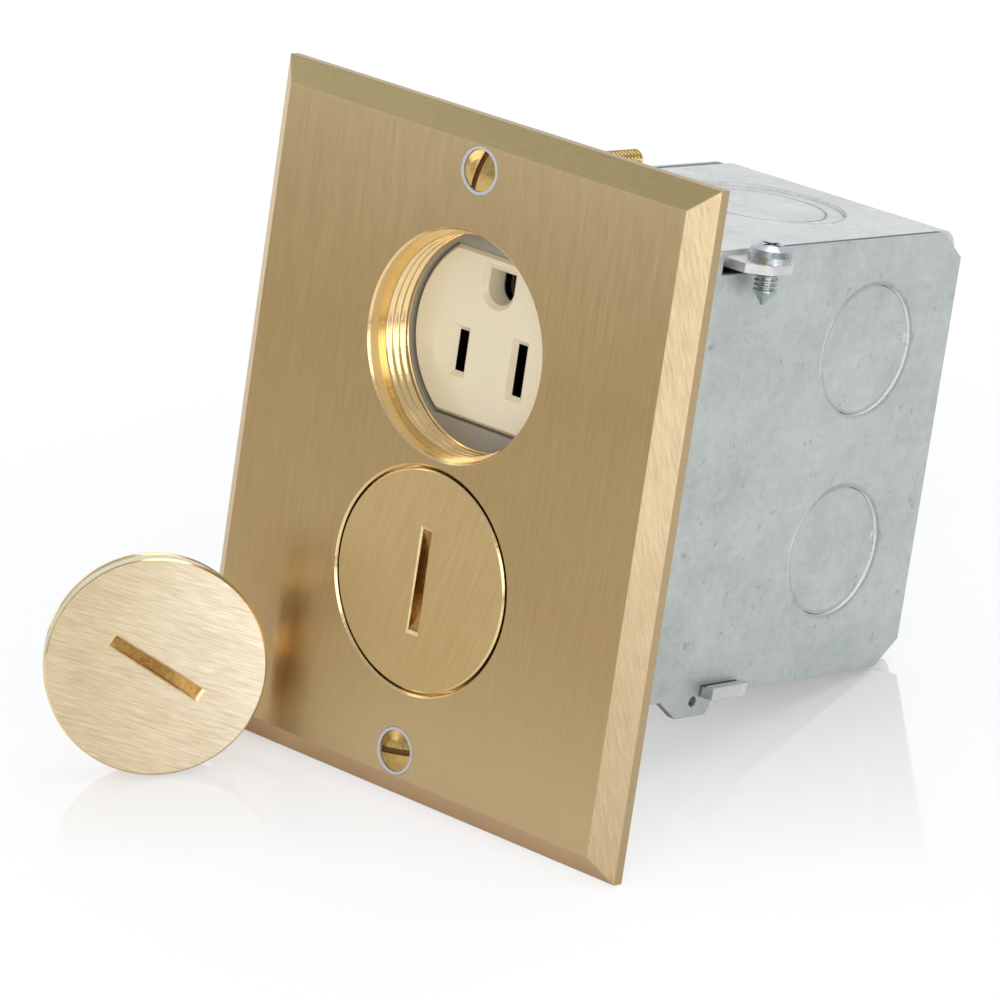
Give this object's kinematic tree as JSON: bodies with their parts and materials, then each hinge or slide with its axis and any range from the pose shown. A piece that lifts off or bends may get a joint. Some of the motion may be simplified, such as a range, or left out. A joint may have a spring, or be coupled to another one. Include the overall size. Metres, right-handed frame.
{
  "type": "floor socket box",
  "caption": "Flush floor socket box: bevelled plate with screw-in caps over a duplex outlet, in a deep folded-steel wiring box.",
  "frame": {"origin": "centre of the cover plate's rear face, which rests on the floor round the cut-out", "axes": "+X across the plate, +Z along its long side towards the open outlet, +Y from the plate into the box; the plate's face looks to -Y"},
  "size_m": [0.0993, 0.128, 0.1174],
  "materials": {
    "plate_brass": "satin, brushed along the plate's height",
    "cap_brass": "satin, brushed",
    "loose_cap_brass": "satin, fine brushing",
    "screw_brass": "polished",
    "contact_brass": "plain rolled",
    "contact_tinned": "tinned",
    "black_rubber": "matt",
    "grey_rubber": "matt",
    "white_nylon": "translucent white",
    "ivory_plastic": "gloss moulded",
    "ivory_base": "semi-gloss moulded",
    "zinc_screw": "bright zinc",
    "zinc_strap": "zinc plated",
    "green_screw": "green dyed zinc",
    "galvanised_top": "galvanised, fine spangle",
    "galvanised_side": "galvanised, fine spangle"
  },
  "bodies": {
    "socket_box": {"cover_plate": "plate_brass", "cover_screws": "screw_brass", "screw_washers": "white_nylon", "face_gasket": "grey_rubber", "receptacle_front": "ivory_plastic", "receptacle_base": "ivory_base", "line_contacts": "contact_brass", "neutral_contacts": "contact_tinned", "ground_contacts": "contact_brass", "line_screws": "screw_brass", "neutral_screws": "zinc_screw", "ground_screw": "green_screw", "assembly_screws": "zinc_screw", "mounting_strap": "zinc_strap", "device_screws": "zinc_screw", "box_wrap": "galvanised_top", "right_side": "galvanised_side", "left_side": "galvanised_side", "side_knockouts": "galvanised_side", "top_knockouts": "galvanised_top", "bottom_knockouts": "galvanised_top", "rear_knockouts": "galvanised_top", "side_screws": "zinc_screw"},
    "lower_seal": {"lower_cap_seal": "black_rubber"},
    "lower_cap": {"lower_cap": "cap_brass"},
    "upper_cap": {"upper_cap": "loose_cap_brass", "upper_cap_seal": "black_rubber"}
  },
  "joints": [
    {"name": "lower_cap_lift", "type": "slide", "parent": "socket_box", "child": "lower_seal", "axis": [0, -1, 0], "range_m": [0, 0.008]},
    {"name": "lower_cap_turn", "type": "hinge", "parent": "lower_seal", "child": "lower_cap", "pos_m": [0, -0.0049, -0.01945], "axis": [0, -1, 0], "range_deg": [0, 1800]},
    {"name": "upper_cap_roll", "type": "hinge", "parent": "socket_box", "child": "upper_cap", "pos_m": [-0.0366, -0.0244, -0.0429], "axis": [0.7873, -0.6151, 0.0436], "continuous": true}
  ],
  "couplings": [
    {"joint": "lower_cap_lift", "follows": "lower_cap_turn", "m_per_rad": 0.00025266}
  ]
}
